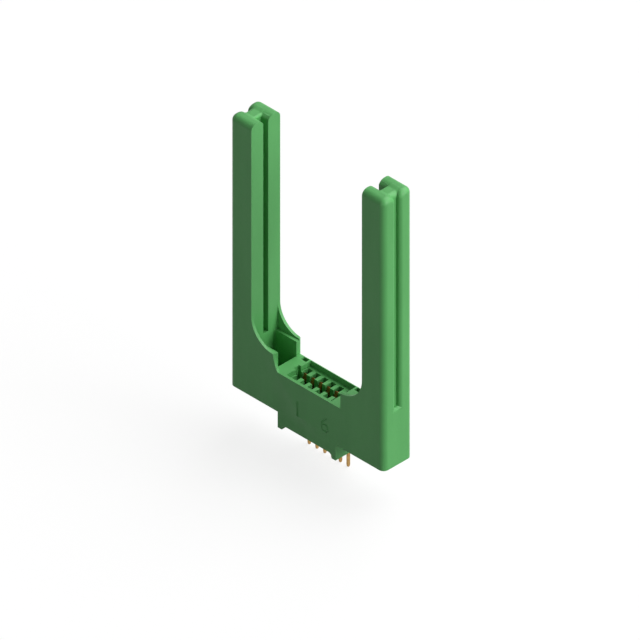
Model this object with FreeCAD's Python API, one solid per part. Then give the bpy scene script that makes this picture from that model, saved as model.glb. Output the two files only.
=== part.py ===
import FreeCAD, Part
import math
import os

# Card edge connector with two tall moulded card guides, six fitted contacts and pin tails.
# Millimetres. X runs along the row of contacts, Y from front to back, Z upwards.
# The origin is on the circuit board's surface, midway between the feet, in the card's plane.

# Overall form of the moulding
housing_depth = 9.4          # front face to back face
opening_width = 36.0         # between the inner faces of the two guides
guide_width = 7.1            # each guide, along X
guide_height = 76.2          # underside of the body to the crests of the guides
body_height = 11.05          # underside of the body to the floor between the guides
corner_radius = 7.0          # quarter rounds from the guides down to the floor's gussets
gusset_rise = 4.35           # floor up to the lowest point of the quarter rounds

# Guide section
groove_width = 1.3           # relief groove down the outer side
groove_depth = 1.2
groove_start = 4.95          # floor level up to the lower end of the groove
card_slot_width = 1.65       # takes a 1.57 mm card
card_slot_depth = 2.3
card_slot_start = 4.6        # floor level up to the lower end of the guide slot
web_drop = 0.35              # crest of the guide down to the web between its two walls
web_inner_round = 0.6        # top of the web into the card slot
outer_round = 1.5            # outer upright edges and the crests' outer ends
crest_round = 1.6            # crests down to the front and back faces
crest_flat = 0.45            # flat top of each crest, between its two rounds
groove_lip_round = 1.05

# Gussets and the deep pockets between them
gusset_wall = 0.75
ledge_width = 0.95           # the gusset is thicker than this wall below the ledge
ledge_drop = 0.3             # lowest point of the quarter round down to the ledge
pocket_floor = 3.5           # plastic left below each pocket
pocket_round = 0.7
back_round = 0.7             # back edges of the floor and of the gussets' ends
toe_reach = 1.5              # curved toe at the foot of each front gusset, along X
toe_hollow = 0.3             # how far the toe's slope is hollowed

# Tail block below the body, with a foot at each end
block_drop = 3.1             # underside of the body to the underside of the block
block_margin = 1.83          # block past the outer half pitch, each end
foot_drop = 1.3              # underside of the block to the board
foot_width = 1.35
foot_round = 1.0             # hollow round on the inner side of each foot

# Contact field
pitch = 2.54
positions = 6
row_spacing = 5.08
rim_width = 0.75             # flat rim in front of the field
rim_chamfer = 0.6            # from the front rim down into the field
back_rim_width = 0.6
field_depth = 1.5            # floor down to the field's own floor
field_margin = -0.25         # field past the outer half pitch, each end
entry_margin = 0.48          # card entry past the outer half pitch, each end
entry_width = 1.8
entry_depth = 8.3            # floor down to the card's stop
cavity_width = 1.5           # each contact cavity, along X
cavity_reach = 3.1           # card plane to the outer wall of the cavities
base_thickness = 2.05        # plastic from the body's underside up to the cavities
core_hole_length = 1.7       # blind core holes at the back corners of the field
core_hole_width = 1.2
core_hole_depth = 3.0
core_hole_start = 0.45       # field's end to the core hole

# Contacts
post_size = 0.635            # square tail
post_length = 8.0            # below the block
post_taper = 0.6             # height of the pointed tip
post_tip = 0.3
post_clearance = 0.05        # each side, in the moulding's post hole
shoulder_width = 1.2
shoulder_depth = 0.9
shoulder_height = 1.0
spring_thickness = 0.3
spring_width = 0.95
spring_bend = 0.6            # centre-line radius of the spring's bends
spring_back = 2.55           # card plane to the spring's upright stretch
spring_contact = 0.6         # card plane to the spring where it touches the card
spring_flare = 1.3           # card plane to the spring's flared tip
spring_low = 3.6             # heights above the body's underside, bottom to top
spring_touch = 7.3
spring_tip = 9.3

# Values that follow from those above
half_depth = housing_depth / 2
inner_x = opening_width / 2
outer_x = inner_x + guide_width
underside = block_drop + foot_drop
block_bottom = foot_drop
floor_level = underside + body_height
crest_level = underside + guide_height
arc_bottom = floor_level + gusset_rise
arc_top = arc_bottom + corner_radius
gusset_end = inner_x - corner_radius
guide_wall = (housing_depth - groove_width) / 2
crest_inner_round = guide_wall - crest_round - crest_flat
half_row = positions * pitch / 2
cut_clear = 1.0              # how far cutting bodies run past the faces that they cut
touch = 1e-3


def vec(x, y, z):
    return FreeCAD.Vector(x, y, z)


def box(x0, x1, y0, y1, z0, z1):
    return Part.makeBox(x1 - x0, y1 - y0, z1 - z0, vec(x0, y0, z0))


def line(start, end):
    return Part.LineSegment(start, end).toShape()


def arc(start, middle, end):
    return Part.Arc(start, middle, end).toShape()


def extruded(edges, along):
    return Part.Face(Part.Wire(edges)).extrude(along)


def middle_of(edge):
    return edge.valueAt((edge.FirstParameter + edge.LastParameter) / 2)


def ends_of(edge):
    return edge.valueAt(edge.FirstParameter), edge.valueAt(edge.LastParameter)


def filleted(shape, radii_of):
    # radii_of gives an edge's radius at its first and last end, or nothing to leave it sharp
    document = FreeCAD.newDocument()
    base = document.addObject("Part::Feature", "base")
    base.Shape = shape
    chosen = []
    for number, edge in enumerate(shape.Edges, 1):
        radii = radii_of(edge)
        if radii:
            chosen.append((number, radii[0], radii[1]))
    fillet = document.addObject("Part::Fillet", "fillet")
    fillet.Base = base
    fillet.Edges = chosen
    document.recompute()
    result = fillet.Shape.copy()
    FreeCAD.closeDocument(document.Name)
    return result


def mirrored_x(shape):
    return shape.mirror(vec(0, 0, 0), vec(1, 0, 0))


def contact_places():
    first = -(positions - 1) * pitch / 2
    return [first + number * pitch for number in range(positions)]


# One wall of the right-hand guide above the floor, with its round crest and round outer end
def guide_wall_solid(y_outer, y_groove):
    side = 1 if y_groove > y_outer else -1
    x0, x1 = inner_x, outer_x
    y_crest = y_outer + side * crest_round
    y_saddle = y_groove - side * crest_inner_round
    z_outer = crest_level - crest_round
    z_inner = crest_level - crest_inner_round
    slant = math.sqrt(0.5)
    low = vec(x0, y_outer, floor_level)
    edges = [
        line(low, vec(x0, y_groove, floor_level)),
        line(vec(x0, y_groove, floor_level), vec(x0, y_groove, z_inner)),
        arc(vec(x0, y_groove, z_inner),
            vec(x0, y_saddle + side * slant * crest_inner_round, z_inner + slant * crest_inner_round),
            vec(x0, y_saddle, crest_level)),
        line(vec(x0, y_saddle, crest_level), vec(x0, y_crest, crest_level)),
        arc(vec(x0, y_crest, crest_level),
            vec(x0, y_crest - side * slant * crest_round, z_outer + slant * crest_round),
            vec(x0, y_outer, z_outer)),
        line(vec(x0, y_outer, z_outer), low),
    ]
    wall = extruded(edges, vec(x1 - x0, 0, 0))

    def outer_end(edge):
        mid = middle_of(edge)
        if abs(mid.x - outer_x) > touch or mid.z < floor_level + touch:
            return None
        if abs(mid.y - y_groove) < touch:
            return groove_lip_round, groove_lip_round
        if (mid.y - y_saddle) * side < touch:
            return outer_round, outer_round
        start, end = ends_of(edge)
        if start.z > end.z:
            return outer_round, groove_lip_round
        return groove_lip_round, outer_round

    return filleted(wall, outer_end)


# The web that joins the two walls of a guide, with its top curving down into the groove
def guide_web():
    x0 = inner_x + card_slot_depth
    x1 = outer_x - groove_depth
    y = -half_depth + crest_round
    top = crest_level - web_drop
    slant = 1 - math.sqrt(0.5)
    z_inner = top - web_inner_round
    z_outer = top - groove_depth
    edges = [
        line(vec(x0, y, floor_level), vec(x1, y, floor_level)),
        line(vec(x1, y, floor_level), vec(x1, y, z_outer)),
        arc(vec(x1, y, z_outer), vec(x1 - slant * groove_depth, y, top - slant * groove_depth),
            vec(x1 - groove_depth, y, top)),
        line(vec(x1 - groove_depth, y, top), vec(x0 + web_inner_round, y, top)),
        arc(vec(x0 + web_inner_round, y, top),
            vec(x0 + slant * web_inner_round, y, top - slant * web_inner_round),
            vec(x0, y, z_inner)),
        line(vec(x0, y, z_inner), vec(x0, y, floor_level)),
    ]
    return extruded(edges, vec(0, -2 * y, 0))


def guide():
    front = guide_wall_solid(-half_depth, -half_depth + guide_wall)
    back = guide_wall_solid(half_depth, half_depth - guide_wall)
    return front.fuse([back, guide_web()])


# The body between the guides, up to the top of the quarter rounds
def body_profile():
    y = -half_depth
    slant = corner_radius * (1 - math.sqrt(0.5))
    x_join = inner_x + card_slot_depth
    points = [
        vec(-x_join, y, underside), vec(x_join, y, underside),
        vec(x_join, y, arc_top), vec(inner_x, y, arc_top),
    ]
    right = arc(vec(inner_x, y, arc_top), vec(inner_x - slant, y, arc_bottom + slant),
                vec(gusset_end, y, arc_bottom))
    left = arc(vec(-gusset_end, y, arc_bottom), vec(-inner_x + slant, y, arc_bottom + slant),
               vec(-inner_x, y, arc_top))
    edges = [line(points[0], points[1]), line(points[1], points[2]), line(points[2], points[3])]
    edges += [
        right,
        line(vec(gusset_end, y, arc_bottom), vec(gusset_end, y, floor_level)),
        line(vec(gusset_end, y, floor_level), vec(-gusset_end, y, floor_level)),
        line(vec(-gusset_end, y, floor_level), vec(-gusset_end, y, arc_bottom)),
        left,
        line(vec(-inner_x, y, arc_top), vec(-x_join, y, arc_top)),
        line(vec(-x_join, y, arc_top), points[0]),
    ]

    def back_edges(edge):
        mid = middle_of(edge)
        if abs(mid.y - half_depth) > touch or abs(mid.x) > gusset_end + touch:
            return None
        if mid.z < floor_level - touch:
            return None
        return back_round, back_round

    return filleted(extruded(edges, vec(0, housing_depth, 0)), back_edges)


# Solid lower ends of the guides, below the groove
def guide_root():
    x0 = inner_x + card_slot_depth
    root = box(x0, outer_x, -half_depth, half_depth, underside, floor_level + groove_start)

    def round_upright(edge):
        mid = middle_of(edge)
        start, end = ends_of(edge)
        if abs(mid.x - outer_x) > touch:
            return None
        if abs(start.z - end.z) > touch:
            return outer_round, outer_round
        return None

    def round_mouth(edge):
        mid = middle_of(edge)
        if abs(mid.x - outer_x) < touch and mid.z > floor_level:
            return groove_lip_round, groove_lip_round
        return None

    return filleted(filleted(root, round_upright), round_mouth)


# Curved toe that runs from the end of a front gusset down onto the front rim
def gusset_toe():
    corner = vec(gusset_end, -half_depth, floor_level)
    high = corner + vec(0, 0, gusset_rise)
    low = corner - vec(toe_reach, 0, 0)
    towards_corner = vec(gusset_rise, 0, -toe_reach).normalize()
    bend = (high + low) * 0.5 + towards_corner * toe_hollow
    return extruded([line(low, corner), line(corner, high), arc(high, bend, low)], vec(0, gusset_wall, 0))


# Tail block and its two feet, with a hollow round on the inner side of each foot
def tail_block():
    half = half_row + block_margin
    foot_inner = half - foot_width
    slant = foot_round * (1 - math.sqrt(0.5))
    z_round = block_bottom - foot_round
    y = -half_depth

    def foot_edges(side):
        return [
            line(vec(side * half, y, underside), vec(side * half, y, 0)),
            line(vec(side * half, y, 0), vec(side * foot_inner, y, 0)),
            line(vec(side * foot_inner, y, 0), vec(side * foot_inner, y, z_round)),
            arc(vec(side * foot_inner, y, z_round),
                vec(side * (foot_inner - slant), y, block_bottom - slant),
                vec(side * (foot_inner - foot_round), y, block_bottom)),
        ]

    flat = foot_inner - foot_round
    bottom = line(vec(flat, y, block_bottom), vec(-flat, y, block_bottom))
    top = line(vec(-half, y, underside), vec(half, y, underside))
    edges = foot_edges(1) + [bottom] + foot_edges(-1)[::-1] + [top]
    return extruded(edges, vec(0, housing_depth, 0))


# The deep pocket between the two gussets of the right-hand guide
def pocket_cut():
    inner_y = half_depth - gusset_wall
    ledge_y = inner_y - ledge_width
    z_bottom = underside + pocket_floor
    z_ledge = arc_bottom - ledge_drop
    deep = box(gusset_end, inner_x, -ledge_y, ledge_y, z_bottom, z_ledge)

    def upright(edge):
        start, end = ends_of(edge)
        if abs(start.z - end.z) > touch and middle_of(edge).x > inner_x - touch:
            return pocket_round, pocket_round
        return None

    deep = filleted(deep, upright)
    between_ledges = box(gusset_end - cut_clear, inner_x - pocket_round, -ledge_y, ledge_y,
                         floor_level, z_ledge)
    above = box(gusset_end - cut_clear, inner_x, -inner_y, inner_y, z_ledge, arc_top + cut_clear)
    return deep.fuse([between_ledges, above])


def card_slot_cut():
    half = card_slot_width / 2
    return box(inner_x - cut_clear, inner_x + card_slot_depth, -half, half,
               floor_level + card_slot_start, crest_level + cut_clear)


# The field's recess, with a chamfer along its front rim
def field_recess():
    half_x = half_row + field_margin
    front_y = -half_depth + rim_width
    back_y = half_depth - back_rim_width
    low_y = front_y + rim_chamfer
    z0 = floor_level - field_depth
    z1 = floor_level - rim_chamfer
    x = -half_x
    above = floor_level + cut_clear
    outline = [
        vec(x, low_y, z0), vec(x, back_y, z0), vec(x, back_y, above),
        vec(x, front_y, above), vec(x, front_y, floor_level), vec(x, low_y, z1),
    ]
    edges = [line(outline[n], outline[(n + 1) % len(outline)]) for n in range(len(outline))]
    return extruded(edges, vec(2 * half_x, 0, 0))


def card_entry():
    half_x = half_row + entry_margin
    half_y = entry_width / 2
    return box(-half_x, half_x, -half_y, half_y, floor_level - entry_depth, floor_level + cut_clear)


def cavity_cuts():
    cuts = []
    half_x = cavity_width / 2
    hole = post_size / 2 + post_clearance
    z_floor = underside + base_thickness
    for x in contact_places():
        cuts.append(box(x - half_x, x + half_x, -cavity_reach, cavity_reach, z_floor, floor_level + cut_clear))
        for y in (-row_spacing / 2, row_spacing / 2):
            cuts.append(box(x - hole, x + hole, y - hole, y + hole, block_bottom - cut_clear, z_floor + touch))
    return cuts


def core_hole_cuts():
    cuts = []
    y1 = half_depth - back_rim_width
    x0 = half_row + field_margin + core_hole_start
    for side in (-1, 1):
        ends = sorted((side * x0, side * (x0 + core_hole_length)))
        cuts.append(box(ends[0], ends[1], y1 - core_hole_width, y1,
                        floor_level - core_hole_depth, floor_level + cut_clear))
    return cuts


def housing():
    right = guide().fuse([guide_root(), gusset_toe()])
    shape = body_profile().fuse([right, mirrored_x(right), tail_block()])
    shape = shape.removeSplitter()
    cuts = [field_recess(), card_entry()] + cavity_cuts() + core_hole_cuts()
    for cut in (pocket_cut(), card_slot_cut()):
        cuts += [cut, mirrored_x(cut)]
    return shape.cut(cuts).removeSplitter()


# Centre line of a strip: straight runs joined by tangent arcs of one radius
def bent_path(points, radius):
    edges = []
    start = points[0]
    for before, corner, after in zip(points, points[1:], points[2:]):
        incoming = (before - corner).normalize()
        outgoing = (after - corner).normalize()
        half_turn = incoming.getAngle(outgoing) / 2
        reach = radius / math.tan(half_turn)
        bisector = (incoming + outgoing).normalize()
        centre = corner + bisector * (radius / math.sin(half_turn))
        first = corner + incoming * reach
        last = corner + outgoing * reach
        edges.append(line(start, first))
        edges.append(arc(first, centre - bisector * radius, last))
        start = last
    edges.append(line(start, points[-1]))
    return edges


def contact(x):
    y_post = row_spacing / 2
    z_seat = underside + base_thickness
    half = post_size / 2
    tip_half = post_tip / 2
    z_tip = block_bottom - post_length
    post = box(x - half, x + half, y_post - half, y_post + half, z_tip + post_taper, z_seat + touch)

    def square(size, z):
        corners = [vec(x - size, y_post - size, z), vec(x + size, y_post - size, z),
                   vec(x + size, y_post + size, z), vec(x - size, y_post + size, z)]
        return Part.Wire([line(corners[n], corners[(n + 1) % 4]) for n in range(4)])

    point = Part.makeLoft([square(tip_half, z_tip), square(half, z_tip + post_taper)], True, True)
    half_shoulder = shoulder_width / 2
    shoulder = box(x - half_shoulder, x + half_shoulder, y_post - shoulder_depth / 2,
                   cavity_reach - post_clearance, z_seat, z_seat + shoulder_height)
    x0 = x - spring_width / 2
    points = [vec(x0, spring_back, z_seat), vec(x0, spring_back, underside + spring_low),
              vec(x0, spring_contact, underside + spring_touch), vec(x0, spring_flare, underside + spring_tip)]
    centre_line = Part.Wire(bent_path(points, spring_bend))
    strip = centre_line.makeOffset2D(spring_thickness, 0, True, True, False)
    spring = strip.extrude(vec(spring_width, 0, 0))
    return post.fuse([point, shoulder, spring]).removeSplitter()


def export(shape, name):
    if not shape.isValid() or len(shape.Solids) != 1:
        print("check", name, "valid", shape.isValid(), "solids", len(shape.Solids))
    shape.Solids[0].exportStep("parts/" + name + ".step")
    bounds = shape.BoundBox
    print(name, "volume", round(shape.Volume, 3), "z", round(bounds.ZMin, 3), round(bounds.ZMax, 3))


os.makedirs("parts", exist_ok=True)
export(housing(), "housing")
for number, place in enumerate(contact_places(), 1):
    export(contact(place), "contact_" + str(number))
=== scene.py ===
import bpy
import math
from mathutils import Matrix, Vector


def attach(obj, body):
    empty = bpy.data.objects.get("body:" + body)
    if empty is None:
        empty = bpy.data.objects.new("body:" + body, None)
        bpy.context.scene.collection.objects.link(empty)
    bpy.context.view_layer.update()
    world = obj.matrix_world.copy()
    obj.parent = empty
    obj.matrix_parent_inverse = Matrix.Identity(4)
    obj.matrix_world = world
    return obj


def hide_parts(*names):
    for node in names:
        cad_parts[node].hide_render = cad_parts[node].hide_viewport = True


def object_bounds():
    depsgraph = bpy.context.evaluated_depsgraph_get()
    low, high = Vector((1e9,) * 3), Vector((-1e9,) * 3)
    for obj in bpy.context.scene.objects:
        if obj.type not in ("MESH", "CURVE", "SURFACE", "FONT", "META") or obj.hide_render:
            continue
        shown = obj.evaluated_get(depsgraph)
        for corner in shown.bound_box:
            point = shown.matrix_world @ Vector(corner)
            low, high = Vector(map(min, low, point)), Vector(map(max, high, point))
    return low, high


# card edge connector: green moulding with two card guides, six gold contacts
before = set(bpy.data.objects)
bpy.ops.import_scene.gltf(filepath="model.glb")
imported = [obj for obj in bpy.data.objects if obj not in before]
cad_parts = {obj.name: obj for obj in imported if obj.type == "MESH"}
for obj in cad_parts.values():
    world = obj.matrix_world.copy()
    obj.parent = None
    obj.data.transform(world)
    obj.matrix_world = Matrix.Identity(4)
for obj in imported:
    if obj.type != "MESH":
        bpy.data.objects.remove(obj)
cadLow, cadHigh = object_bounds()
mm = 0.001


def freshStart():
    if bpy.context.object and bpy.context.object.mode != "OBJECT":
        bpy.ops.object.mode_set(mode="OBJECT")
    bpy.ops.object.select_all(action="DESELECT")


def pick(*chosen):
    freshStart()
    for piece in chosen:
        piece.select_set(True)
    bpy.context.view_layer.objects.active = chosen[0]


def placeInMesh(piece):
    pick(piece)
    bpy.ops.object.transform_apply(location=True, rotation=True, scale=True)


# shader node groups shared by the materials
def newGroup(name, inputs, outputs):
    group = bpy.data.node_groups.new(name, "ShaderNodeTree")
    for kind, label, value in inputs:
        socket = group.interface.new_socket(label, in_out="INPUT", socket_type=kind)
        socket.default_value = value
    for kind, label in outputs:
        group.interface.new_socket(label, in_out="OUTPUT", socket_type=kind)
    start = group.nodes.new("NodeGroupInput")
    end = group.nodes.new("NodeGroupOutput")
    return group, start, end


def addNode(tree, kind, **settings):
    node = tree.nodes.new(kind)
    for name, value in settings.items():
        setattr(node, name, value)
    return node


def mathNode(tree, operation, first, second, clamp=False):
    node = addNode(tree, "ShaderNodeMath", operation=operation, use_clamp=clamp)
    for socket, value in zip(node.inputs, (first, second)):
        if isinstance(value, (int, float)):
            socket.default_value = value
        else:
            tree.links.new(value, socket)
    return node.outputs[0]


def noiseNode(tree, vector, scale, detail, roughness=0.5):
    node = addNode(tree, "ShaderNodeTexNoise")
    tree.links.new(vector, node.inputs["Vector"])
    tree.links.new(scale, node.inputs["Scale"])
    node.inputs["Detail"].default_value = detail
    node.inputs["Roughness"].default_value = roughness
    return node.outputs["Fac"]


def rangeNode(tree, value, low, high, toLow=0.0, toHigh=1.0):
    node = addNode(tree, "ShaderNodeMapRange")
    tree.links.new(value, node.inputs["Value"])
    for label, number in (("From Min", low), ("From Max", high), ("To Min", toLow), ("To Max", toHigh)):
        node.inputs[label].default_value = number
    return node.outputs["Result"]


def makeEdgeMask():
    # white where the surface turns over an edge within the given width
    group, start, end = newGroup(
        "edgeMask",
        [("NodeSocketFloat", "Width", 0.0003), ("NodeSocketFloat", "Gain", 2.0)],
        [("NodeSocketFloat", "Mask")])
    bevel = addNode(group, "ShaderNodeBevel", samples=6)
    group.links.new(start.outputs["Width"], bevel.inputs["Radius"])
    surface = addNode(group, "ShaderNodeNewGeometry")
    dot = addNode(group, "ShaderNodeVectorMath", operation="DOT_PRODUCT")
    group.links.new(bevel.outputs["Normal"], dot.inputs[0])
    group.links.new(surface.outputs["Normal"], dot.inputs[1])
    turned = mathNode(group, "SUBTRACT", 1.0, dot.outputs["Value"], clamp=True)
    gained = mathNode(group, "MULTIPLY", turned, start.outputs["Gain"], clamp=True)
    group.links.new(gained, end.inputs["Mask"])
    return group


mouldTexture = {
    "grainScale": 9000.0,
    "grainNoise": (3.0, 0.6),            # detail and roughness
    "flowScale": 160.0,
    "flowNoise": (5.0, 0.55),
    "flowStretch": (1.0, 1.0, 0.22),     # the streaks run along the guides
    "speckleShare": 0.25,                # the speckle is coarser than the grain
    "speckleDetail": 2.0,
    "speckleRange": (0.35, 0.7),
}


def makeMouldGrain():
    # fine satin texture of a spark-finished mould, with faint flow streaks along the guides
    group, start, end = newGroup(
        "mouldGrain",
        [("NodeSocketFloat", "Grain Scale", mouldTexture["grainScale"]),
         ("NodeSocketFloat", "Flow Scale", mouldTexture["flowScale"])],
        [("NodeSocketFloat", "Height"), ("NodeSocketFloat", "Flow"), ("NodeSocketFloat", "Speckle")])
    place = addNode(group, "ShaderNodeTexCoord")
    spot = place.outputs["Object"]
    grain = noiseNode(group, spot, start.outputs["Grain Scale"], *mouldTexture["grainNoise"])
    stretch = addNode(group, "ShaderNodeMapping")
    stretch.inputs["Scale"].default_value = mouldTexture["flowStretch"]
    group.links.new(spot, stretch.inputs["Vector"])
    flow = noiseNode(group, stretch.outputs["Vector"], start.outputs["Flow Scale"],
                     *mouldTexture["flowNoise"])
    coarser = mathNode(group, "MULTIPLY", start.outputs["Grain Scale"], mouldTexture["speckleShare"])
    speckle = noiseNode(group, spot, coarser, mouldTexture["speckleDetail"])
    group.links.new(grain, end.inputs["Height"])
    group.links.new(flow, end.inputs["Flow"])
    group.links.new(rangeNode(group, speckle, *mouldTexture["speckleRange"]), end.inputs["Speckle"])
    return group


metalTexture = {
    "lineScale": 5000.0,
    "lineStretch": (1.0, 1.0, 0.04),     # the lines run along the tails
    "cloudScale": 900.0,
    "detail": 3.0,
}


def makeStampedMetal():
    # drawn wire and stamped strip: fine lines along the tails, soft clouds in the plating
    group, start, end = newGroup(
        "stampedMetal",
        [("NodeSocketFloat", "Line Scale", metalTexture["lineScale"]),
         ("NodeSocketFloat", "Cloud Scale", metalTexture["cloudScale"])],
        [("NodeSocketFloat", "Lines"), ("NodeSocketFloat", "Clouds")])
    place = addNode(group, "ShaderNodeTexCoord")
    stretch = addNode(group, "ShaderNodeMapping")
    stretch.inputs["Scale"].default_value = metalTexture["lineStretch"]
    spot = place.outputs["Object"]
    group.links.new(spot, stretch.inputs["Vector"])
    lines = noiseNode(group, stretch.outputs["Vector"], start.outputs["Line Scale"], metalTexture["detail"])
    clouds = noiseNode(group, spot, start.outputs["Cloud Scale"], metalTexture["detail"])
    group.links.new(lines, end.inputs["Lines"])
    group.links.new(clouds, end.inputs["Clouds"])
    return group


edgeMask = makeEdgeMask()
mouldGrain = makeMouldGrain()
stampedMetal = makeStampedMetal()


def useGroup(tree, group, **values):
    node = addNode(tree, "ShaderNodeGroup", node_tree=group)
    for label, value in values.items():
        node.inputs[label.replace("_", " ")].default_value = value
    return node


def newMaterial(name):
    material = bpy.data.materials.new(name)
    material.use_nodes = True
    tree = material.node_tree
    tree.nodes.clear()
    output = addNode(tree, "ShaderNodeOutputMaterial")
    return material, tree, output


def mixColours(tree, factor, first, second):
    node = addNode(tree, "ShaderNodeMix", data_type="RGBA")
    ends = {"A": first, "B": second}
    for socket in node.inputs:
        if socket.type == "RGBA" and socket.name in ends:
            value = ends[socket.name]
            if isinstance(value, tuple):
                socket.default_value = value
            else:
                tree.links.new(value, socket)
    tree.links.new(factor, node.inputs["Factor"])
    return next(socket for socket in node.outputs if socket.type == "RGBA")


greenPlastic = {
    "base": (0.105, 0.405, 0.118, 1.0),
    "deep": (0.090, 0.365, 0.102, 1.0),     # where the melt flowed slower
    "edge": (0.20, 0.52, 0.23, 1.0),        # paler corners: partly wear, partly a painted edge highlight
    "edgeWidth": 0.00025,
    "edgeGain": 1.6,
    "roughLow": 0.36,
    "roughHigh": 0.50,
    "flowRange": (0.35, 0.65),
    "grainStrength": 0.12,
    "grainDistance": 0.00002,
    "gloss": 0.36,
}


def makeGreenPlastic():
    material, tree, output = newMaterial("mouldedGreenPlastic")
    shader = addNode(tree, "ShaderNodeBsdfPrincipled")
    grain = useGroup(tree, mouldGrain)
    edges = useGroup(tree, edgeMask, Width=greenPlastic["edgeWidth"], Gain=greenPlastic["edgeGain"])
    flow = rangeNode(tree, grain.outputs["Flow"], *greenPlastic["flowRange"])
    body = mixColours(tree, flow, greenPlastic["deep"], greenPlastic["base"])
    # paler colour on the edges: partly wear, partly a painted edge highlight, patchy by the speckle
    wearAndEdgeHighlight = mathNode(tree, "MULTIPLY", edges.outputs["Mask"], grain.outputs["Speckle"], clamp=True)
    colour = mixColours(tree, wearAndEdgeHighlight, body, greenPlastic["edge"])
    tree.links.new(colour, shader.inputs["Base Color"])
    shader.inputs["Specular IOR Level"].default_value = greenPlastic["gloss"]
    rough = rangeNode(tree, grain.outputs["Speckle"], 0.0, 1.0,
                      greenPlastic["roughLow"], greenPlastic["roughHigh"])
    tree.links.new(rough, shader.inputs["Roughness"])
    bump = addNode(tree, "ShaderNodeBump")
    bump.inputs["Strength"].default_value = greenPlastic["grainStrength"]
    bump.inputs["Distance"].default_value = greenPlastic["grainDistance"]
    tree.links.new(grain.outputs["Height"], bump.inputs["Height"])
    tree.links.new(bump.outputs["Normal"], shader.inputs["Normal"])
    tree.links.new(shader.outputs["BSDF"], output.inputs["Surface"])
    return material


goldPlate = {
    "bright": (0.80, 0.50, 0.17, 1.0),
    "dull": (0.52, 0.29, 0.10, 1.0),
    # painted highlight: paler gold laid along the edges
    "edge": (0.95, 0.72, 0.38, 1.0),
    "edgeWidth": 0.00008,
    "edgeGain": 1.2,
    "roughLow": 0.24,
    "roughHigh": 0.42,
    "cloudRange": (0.35, 0.68),
    "lineRange": (0.3, 0.7),
    "lineStrength": 0.25,
    "lineDistance": 0.00001,
    "spring": (0.40, 0.13, 0.04, 1.0),      # painted shade: darker reddish brown on the springs up inside the body
    "springFrom": 0.0075,                   # above the board, where the painted shade begins
    "springTo": 0.0105,                     # and where it is full
}


def makeGoldPlate():
    material, tree, output = newMaterial("goldPlatedContact")
    shader = addNode(tree, "ShaderNodeBsdfPrincipled")
    shader.inputs["Metallic"].default_value = 1.0
    metal = useGroup(tree, stampedMetal)
    edges = useGroup(tree, edgeMask, Width=goldPlate["edgeWidth"], Gain=goldPlate["edgeGain"])
    clouds = rangeNode(tree, metal.outputs["Clouds"], *goldPlate["cloudRange"])
    body = mixColours(tree, clouds, goldPlate["dull"], goldPlate["bright"])
    # painted shade: the springs turn darker reddish brown with height, inside the body
    place = addNode(tree, "ShaderNodeTexCoord")
    parts = addNode(tree, "ShaderNodeSeparateXYZ")
    tree.links.new(place.outputs["Object"], parts.inputs["Vector"])
    height = rangeNode(tree, parts.outputs["Z"], goldPlate["springFrom"], goldPlate["springTo"])
    body = mixColours(tree, height, body, goldPlate["spring"])
    # painted highlight: paler gold along the edges
    colour = mixColours(tree, edges.outputs["Mask"], body, goldPlate["edge"])
    tree.links.new(colour, shader.inputs["Base Color"])
    rough = rangeNode(tree, metal.outputs["Lines"], *goldPlate["lineRange"],
                      goldPlate["roughLow"], goldPlate["roughHigh"])
    tree.links.new(rough, shader.inputs["Roughness"])
    bump = addNode(tree, "ShaderNodeBump")
    bump.inputs["Strength"].default_value = goldPlate["lineStrength"]
    bump.inputs["Distance"].default_value = goldPlate["lineDistance"]
    tree.links.new(metal.outputs["Lines"], bump.inputs["Height"])
    tree.links.new(bump.outputs["Normal"], shader.inputs["Normal"])
    tree.links.new(shader.outputs["BSDF"], output.inputs["Surface"])
    return material


plasticFinish = makeGreenPlastic()
goldFinish = makeGoldPlate()
print("materials made")


pieceCopy = {
    "mergeWithin": 0.001 * mm,
    "flatAngle": 0.4,            # degrees, faces that meet flatter than this become one
}


def copyOfNode(node, name, material):
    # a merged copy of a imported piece, ready for its small edge rounds
    piece = bpy.data.objects.new(name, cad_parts[node].data.copy())
    bpy.context.scene.collection.objects.link(piece)
    piece.data.name = name
    piece.data.materials.clear()
    piece.data.materials.append(material)
    pick(piece)
    bpy.ops.object.mode_set(mode="EDIT")
    bpy.ops.mesh.select_all(action="SELECT")
    bpy.ops.mesh.remove_doubles(threshold=pieceCopy["mergeWithin"])
    bpy.ops.mesh.dissolve_limited(angle_limit=math.radians(pieceCopy["flatAngle"]))
    bpy.ops.object.mode_set(mode="OBJECT")
    return piece


def breakEdges(piece, width, segments, sharp):
    pick(piece)
    bpy.ops.object.modifier_add(type="BEVEL")
    bevel = piece.modifiers[-1]
    bevel.width = width
    bevel.segments = segments
    bevel.limit_method = "ANGLE"
    bevel.angle_limit = math.radians(sharp)
    bevel.use_clamp_overlap = True
    bevel.miter_outer = "MITER_ARC"
    bpy.ops.object.modifier_apply(modifier=bevel.name)


def smoothFaces(piece, angle):
    # flat faces keep their own normal and the small rounds blend into them
    pick(piece)
    bpy.ops.object.shade_smooth_by_angle(angle=math.radians(angle))
    bpy.ops.object.modifier_add(type="WEIGHTED_NORMAL")
    weighted = piece.modifiers[-1]
    weighted.mode = "FACE_AREA"
    weighted.weight = 100
    weighted.keep_sharp = True
    bpy.ops.object.modifier_apply(modifier=weighted.name)


def makeCutter(name, low, high):
    freshStart()
    middle = [(a + b) / 2 for a, b in zip(low, high)]
    bpy.ops.mesh.primitive_cube_add(size=1.0, location=middle)
    cutter = bpy.context.object
    cutter.name = name
    cutter.scale = [b - a for a, b in zip(low, high)]
    placeInMesh(cutter)
    return cutter


def combine(piece, other, operation):
    pick(piece)
    bpy.ops.object.modifier_add(type="BOOLEAN")
    boolean = piece.modifiers[-1]
    boolean.operation = operation
    boolean.solver = "MANIFOLD"
    boolean.object = other
    bpy.ops.object.modifier_apply(modifier=boolean.name)
    pick(other)
    bpy.ops.object.delete()


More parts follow.
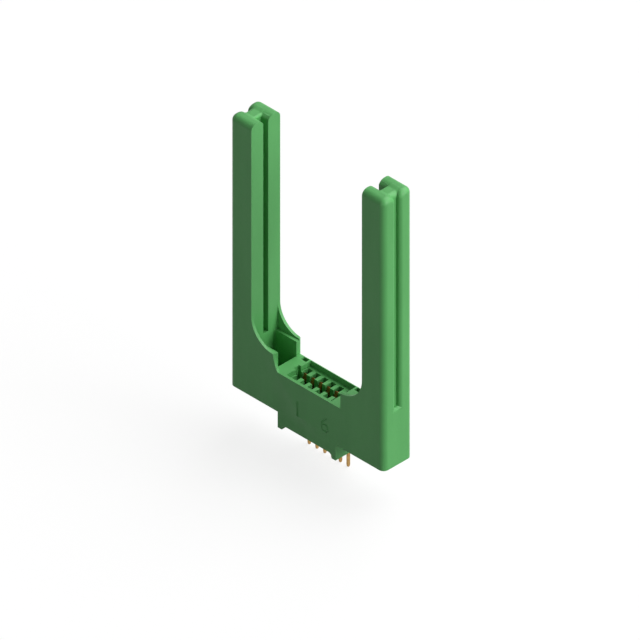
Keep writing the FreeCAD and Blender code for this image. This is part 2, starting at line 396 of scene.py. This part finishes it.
housingLook = {
    "edgeBreak": 0.10 * mm,      # the small round a mould leaves on every edge
    "segments": 2,
    "sharpAngle": 32,            # degrees, edges that turn more than this are rounded
    "smoothAngle": 40,
    # the right front gusset ends plain, so this block takes its toe away
    "plainEnd": ((9.3 * mm, -4.9 * mm, 15.45 * mm), (11.0 * mm, -3.95 * mm, 20.1 * mm)),
}


positionNumbers = {
    # number: middle of its foot along the row
    "places": {"1": -3.0 * mm, "6": 5.9 * mm},
    "foot": 6.3 * mm,            # above the board
    "height": 4.3 * mm,
    "depth": 0.20 * mm,
    "proud": 0.3 * mm,           # how far the cutters start in front of the face
    "capitalShare": 0.7,         # a figure's height as a share of the text size
    "mergeWithin": 0.0005 * mm,
}


def engraveNumbers(housing):
    face = cadLow.y
    for number, place in positionNumbers["places"].items():
        freshStart()
        bpy.ops.object.text_add(rotation=(math.pi / 2, 0, 0))
        digit = bpy.context.object
        digit.data.body = number
        digit.data.align_x = "CENTER"
        digit.data.size = positionNumbers["height"] / positionNumbers["capitalShare"]
        digit.data.extrude = (positionNumbers["depth"] + positionNumbers["proud"]) / 2
        middle = face + (positionNumbers["depth"] - positionNumbers["proud"]) / 2
        digit.location = (place, middle, positionNumbers["foot"])
        bpy.ops.object.convert(target="MESH")
        placeInMesh(digit)
        bpy.ops.object.mode_set(mode="EDIT")
        bpy.ops.mesh.select_all(action="SELECT")
        bpy.ops.mesh.remove_doubles(threshold=positionNumbers["mergeWithin"])
        bpy.ops.mesh.normals_make_consistent(inside=False)
        bpy.ops.object.mode_set(mode="OBJECT")
        combine(housing, digit, "DIFFERENCE")


guideTop = {
    "webTop": 80.25 * mm,
    "webInner": (20.3 * mm, 0.6 * mm),      # face of the web towards the card, and its round
    "webOuter": (23.9 * mm, 1.2 * mm),      # face in the outer groove, and its round
    "crestCentre": (2.65 * mm, 78.6 * mm),  # the round on the inner side of each crest
    "crestRound": 2.0 * mm,
    "hollow": 0.55 * mm,                    # how widely web and crest flow into each other
    "fade": 0.5 * mm,                       # the hollow runs out over this length at both ends
    "rows": 56,
    "below": 0.014 * mm,                    # lies just under the moulding where nothing is added
    "crestInset": 0.3 * mm,                 # stops this far inside the crests' rounds
    "endGap": 0.1 * mm,                     # shorter than the web by this, both ends together
    "thick": 0.25 * mm,
}


def topHeight(x, y):
    innerFace, innerRound = guideTop["webInner"]
    outerFace, outerRound = guideTop["webOuter"]
    web = guideTop["webTop"]
    for face, radius, inward in ((innerFace, innerRound, 1), (outerFace, outerRound, -1)):
        past = max(0.0, radius - inward * (x - face))
        web -= radius - math.sqrt(max(0.0, radius * radius - past * past))
    middle, level = guideTop["crestCentre"]
    aside = min(guideTop["crestRound"], middle - min(abs(y), middle))
    crest = level + math.sqrt(guideTop["crestRound"] ** 2 - aside * aside)
    near = max(0.0, 1 - abs(web - crest) / guideTop["hollow"])
    room = min(x - innerFace, outerFace - x) / guideTop["fade"]
    share = max(0.0, min(1.0, room))
    filled = near * near * guideTop["hollow"] / 4 * share * share * (3 - 2 * share)
    return max(web, crest) + filled - guideTop["below"]


def flowCrests(housing):
    # the web's top and the crests on both sides of it run into each other in a soft hollow
    innerFace, outerFace = guideTop["webInner"][0], guideTop["webOuter"][0]
    reach = guideTop["crestCentre"][0] - guideTop["crestInset"]
    for side in (-1, 1):
        freshStart()
        bpy.ops.mesh.primitive_grid_add(size=1.0, x_subdivisions=guideTop["rows"],
                                        y_subdivisions=guideTop["rows"])
        hollow = bpy.context.object
        hollow.scale = (outerFace - innerFace - guideTop["endGap"], 2 * reach, 1.0)
        hollow.location = (side * (innerFace + outerFace) / 2, 0, 0)
        placeInMesh(hollow)
        for point in hollow.data.vertices:
            point.co.z = topHeight(abs(point.co.x), point.co.y)
        bpy.ops.object.mode_set(mode="EDIT")
        bpy.ops.mesh.select_all(action="SELECT")
        bpy.ops.mesh.extrude_region_move(TRANSFORM_OT_translate={"value": (0, 0, -guideTop["thick"])})
        bpy.ops.mesh.select_all(action="SELECT")
        bpy.ops.mesh.normals_make_consistent(inside=False)
        bpy.ops.object.mode_set(mode="OBJECT")
        combine(housing, hollow, "UNION")


def makeHousing():
    housing = copyOfNode("housing", "mouldedHousing", plasticFinish)
    toe = housingLook["plainEnd"]
    combine(housing, makeCutter("plainEnd", toe[0], toe[1]), "DIFFERENCE")
    breakEdges(housing, housingLook["edgeBreak"], housingLook["segments"], housingLook["sharpAngle"])
    flowCrests(housing)
    engraveNumbers(housing)
    smoothFaces(housing, housingLook["smoothAngle"])
    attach(housing, "root")
    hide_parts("housing")
    print("housing made", len(housing.data.polygons), "faces")


contactLook = {
    "count": 6,
    "edgeBreak": 0.03 * mm,
    "segments": 2,
    "sharpAngle": 30,
    "smoothAngle": 40,
    "tipWidth": 0.50 * mm,       # the tails end blunt
    "tipBand": 0.02 * mm,        # points this close to the lowest one are the tip
}


def bluntTail(contact):
    points = contact.data.vertices
    lowest = min(point.co.z for point in points)
    tip = [point for point in points if point.co.z < lowest + contactLook["tipBand"]]
    middle = sum((point.co for point in tip), Vector()) / len(tip)
    wide = 2 * max(abs(point.co.x - middle.x) for point in tip)
    for point in tip:
        point.co = middle + (point.co - middle) * contactLook["tipWidth"] / wide


def makeContacts():
    for number in range(1, contactLook["count"] + 1):
        node = "contact_" + str(number)
        contact = copyOfNode(node, "goldContact_" + str(number), goldFinish)
        bluntTail(contact)
        breakEdges(contact, contactLook["edgeBreak"], contactLook["segments"], contactLook["sharpAngle"])
        smoothFaces(contact, contactLook["smoothAngle"])
        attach(contact, "root")
        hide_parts(node)
    print("contacts made")


makeHousing()
makeContacts()


studioFloor = {
    "size": 3.0,
    "paint": (0.20, 0.20, 0.20, 1.0),     # what the object is lit by
    "whiteLift": 0.808,                   # what the camera sees on top of it
    "mirrored": 0.60,                     # share of that white which reflections see
}


def whiteForCamera(tree, strength):
    # white only for the camera and for reflections, so it puts no light on the object
    path = addNode(tree, "ShaderNodeLightPath")
    glossy = mathNode(tree, "MAXIMUM", path.outputs["Is Glossy Ray"], path.outputs["Is Transmission Ray"])
    softer = mathNode(tree, "MULTIPLY", glossy, studioFloor["mirrored"])
    seen = mathNode(tree, "MAXIMUM", path.outputs["Is Camera Ray"], softer)
    return mathNode(tree, "MULTIPLY", seen, strength)


def makeFloor():
    freshStart()
    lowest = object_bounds()[0]
    bpy.ops.mesh.primitive_plane_add(size=studioFloor["size"], location=(0, 0, lowest.z))
    floor = bpy.context.object
    floor.name = "studioFloor"
    placeInMesh(floor)
    material, tree, output = newMaterial("studioFloorWhite")
    paint = addNode(tree, "ShaderNodeBsdfDiffuse")
    paint.inputs["Color"].default_value = studioFloor["paint"]
    glow = addNode(tree, "ShaderNodeEmission")
    tree.links.new(whiteForCamera(tree, studioFloor["whiteLift"]), glow.inputs["Strength"])
    both = addNode(tree, "ShaderNodeAddShader")
    tree.links.new(paint.outputs["BSDF"], both.inputs[0])
    tree.links.new(glow.outputs["Emission"], both.inputs[1])
    tree.links.new(both.outputs["Shader"], output.inputs["Surface"])
    floor.data.materials.append(material)


studioLight = {
    "skyStrength": 0.105,
    "above": 0.5,                # where the lamps are drawn, which changes nothing in the light
    "panels": {
        # name: where it shines from, strength, degrees across
        "topPanel": ((0.15, 0.58, 0.80), 2.5, 60),
        "sidePanel": ((1.00, 0.26, 0.36), 2.32, 45),
        "frontPanel": ((0.25, -1.00, -0.10), 0.60, 60),
    },
}


def makeLights():
    world = bpy.data.worlds.new("studioSky")
    bpy.context.scene.world = world
    world.use_nodes = True
    tree = world.node_tree
    tree.nodes.clear()
    output = addNode(tree, "ShaderNodeOutputWorld")
    background = addNode(tree, "ShaderNodeBackground")
    background.inputs["Color"].default_value = (1.0, 1.0, 1.0, 1.0)
    extra = whiteForCamera(tree, 1.0 - studioLight["skyStrength"])
    strength = mathNode(tree, "ADD", extra, studioLight["skyStrength"])
    tree.links.new(strength, background.inputs["Strength"])
    tree.links.new(background.outputs["Background"], output.inputs["Surface"])
    for name, (shinesFrom, strength, softness) in studioLight["panels"].items():
        freshStart()
        bpy.ops.object.light_add(type="SUN", location=(0, 0, studioLight["above"]))
        panel = bpy.context.object
        panel.name = name
        panel.data.energy = strength
        panel.data.angle = math.radians(softness)
        panel.rotation_euler = Vector(shinesFrom).to_track_quat("Z", "Y").to_euler()


camera = {
    "aim": (-0.01621, 0.01588, 0.01659),  # the middle of the picture
    "azimuth": 45.0,
    "elevation": 35.264,                  # isometric
    "frameWidth": 0.1475,
    "distance": 0.5,
    "nearest": 0.001,
    "farthest": 10.0,
}


def makeCamera():
    freshStart()
    turn = math.radians(camera["azimuth"])
    rise = math.radians(camera["elevation"])
    back = Vector((math.sin(turn) * math.cos(rise), -math.cos(turn) * math.cos(rise), math.sin(rise)))
    bpy.ops.object.camera_add(location=Vector(camera["aim"]) + back * camera["distance"])
    eye = bpy.context.object
    eye.name = "isometricCamera"
    eye.rotation_euler = (math.pi / 2 - rise, 0.0, turn)
    eye.data.type = "ORTHO"
    eye.data.ortho_scale = camera["frameWidth"]
    eye.data.clip_start = camera["nearest"]
    eye.data.clip_end = camera["farthest"]
    bpy.context.scene.camera = eye


makeFloor()
makeLights()
makeCamera()
bpy.context.scene.view_settings.view_transform = "Standard"
print("stage, lights and camera ready")
